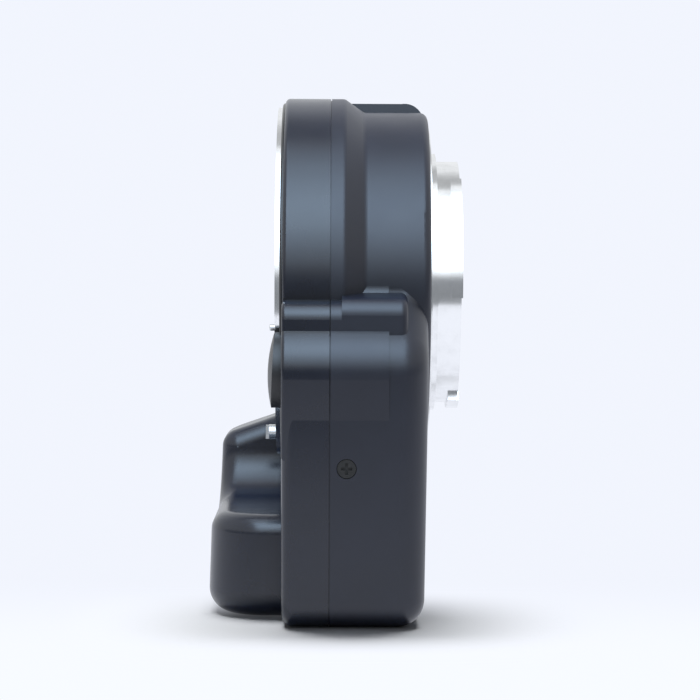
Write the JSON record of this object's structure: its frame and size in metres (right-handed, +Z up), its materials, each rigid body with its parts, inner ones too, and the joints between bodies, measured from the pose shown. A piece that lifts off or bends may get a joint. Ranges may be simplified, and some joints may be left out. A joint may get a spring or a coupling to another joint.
{
  "type": "lens mount adapter",
  "caption": "Black lens mount adapter with a round bayonet ring on a wide housing, forward chin, release button, slanted mirror, focus drive and bright camera bayonet.",
  "frame": {"origin": "on the optical axis at the camera-side flange face", "axes": "+X along the optical axis toward the camera, +Z up, +Y away from the release button side"},
  "size_m": [0.0433, 0.078, 0.0894],
  "materials": {
    "casing": "satin",
    "trim": "satin",
    "button": "satin",
    "bright_metal": "satin",
    "screw_steel": "satin",
    "black_screw": "satin",
    "spring_steel": "satin",
    "plate_steel": "satin",
    "gear_plastic": "matt",
    "brass": "satin",
    "motor_can": "satin",
    "arc_plastic": "matt",
    "inner_black": "matt",
    "frame_metal": "matt",
    "mirror_film": "polished",
    "contact_plastic": "matt",
    "contact_gold": "polished",
    "lens_glass": "polished",
    "circuit": "satin",
    "chip": "matt",
    "socket_steel": "satin",
    "lens_mark": "satin",
    "camera_mark": "satin"
  },
  "bodies": {
    "casing": {"front_shell": "casing", "rear_shell": "casing", "front_trim_ring": "trim", "lens_mount_ring": "bright_metal", "lens_mount_screws": "screw_steel", "bayonet_spring": "spring_steel", "camera_mount_ring": "bright_metal", "camera_mount_screws": "screw_steel", "release_spring": "spring_steel", "idler_axle": "plate_steel", "focus_motor": "motor_can", "gear_plate": "plate_steel", "gear_plate_screws": "screw_steel", "aperture_motor": "motor_can", "mirror_box": "inner_black", "mirror_frame": "frame_metal", "mirror": "mirror_film", "mirror_clips": "spring_steel", "rear_baffle": "inner_black", "camera_contact_block": "contact_plastic", "camera_contact_pads": "contact_gold", "lens_contact_block": "contact_plastic", "sensor_housing": "inner_black", "condenser_lens": "lens_glass", "sensor_board": "circuit", "sensor_chip": "chip", "main_board": "circuit", "board_chips": "chip", "board_screws": "screw_steel", "tripod_socket": "socket_steel", "side_screws": "black_screw", "lens_index_dot": "lens_mark", "camera_index_dot": "camera_mark"},
    "release": {"release_button": "button", "lock_plate": "plate_steel", "lock_pin": "bright_metal"},
    "coupler_drive": {"coupler_gear": "gear_plastic", "coupler_spring": "spring_steel"},
    "coupler": {"coupler_shaft": "bright_metal"},
    "idler": {"idler_gear": "gear_plastic"},
    "pinion": {"motor_pinion": "brass"},
    "aperture_arm": {"aperture_arc": "arc_plastic"},
    "aperture_drive": {"aperture_pinion": "brass"},
    "contact_pins": {"lens_contact_pins": "contact_gold"}
  },
  "joints": [
    {"name": "release_slide", "type": "slide", "parent": "casing", "child": "release", "axis": [1, 0, 0], "range_m": [0, 0.0024], "stiffness_N_per_m": 400, "springref_m": -0.002, "deforming": ["release_spring"]},
    {"name": "idler_spin", "type": "hinge", "parent": "casing", "child": "idler", "pos_m": [-0.017, 0.01505, -0.03358], "axis": [1, 0, 0], "continuous": true},
    {"name": "coupler_spin", "type": "hinge", "parent": "casing", "child": "coupler_drive", "pos_m": [-0.017, 0.0078, -0.0275], "axis": [1, 0, 0], "continuous": true},
    {"name": "coupler_retract", "type": "slide", "parent": "coupler_drive", "child": "coupler", "axis": [1, 0, 0], "range_m": [0, 0.0024], "stiffness_N_per_m": 150, "springref_m": -0.001, "deforming": ["coupler_spring"]},
    {"name": "pinion_spin", "type": "hinge", "parent": "casing", "child": "pinion", "pos_m": [-0.017, 0.01948, -0.04125], "axis": [1, 0, 0], "continuous": true},
    {"name": "aperture_swing", "type": "hinge", "parent": "casing", "child": "aperture_arm", "pos_m": [-0.0229, 0, 0], "axis": [1, 0, 0], "range_deg": [0, 16]},
    {"name": "aperture_pinion_spin", "type": "hinge", "parent": "casing", "child": "aperture_drive", "pos_m": [-0.0229, 0.01466, 0.02346], "axis": [1, 0, 0], "range_deg": [-205.8, 1]},
    {"name": "contact_press", "type": "slide", "parent": "casing", "child": "contact_pins", "axis": [1, 0, 0], "range_m": [0, 0.0007], "stiffness_N_per_m": 200, "springref_m": -0.001}
  ],
  "couplings": [
    {"joint": "coupler_spin", "follows": "idler_spin", "ratio": -2.6154},
    {"joint": "pinion_spin", "follows": "idler_spin", "ratio": -3.4},
    {"joint": "coupler_retract", "follows": "release_slide", "ratio": 1},
    {"joint": "aperture_pinion_spin", "follows": "aperture_swing", "ratio": -12.8}
  ]
}
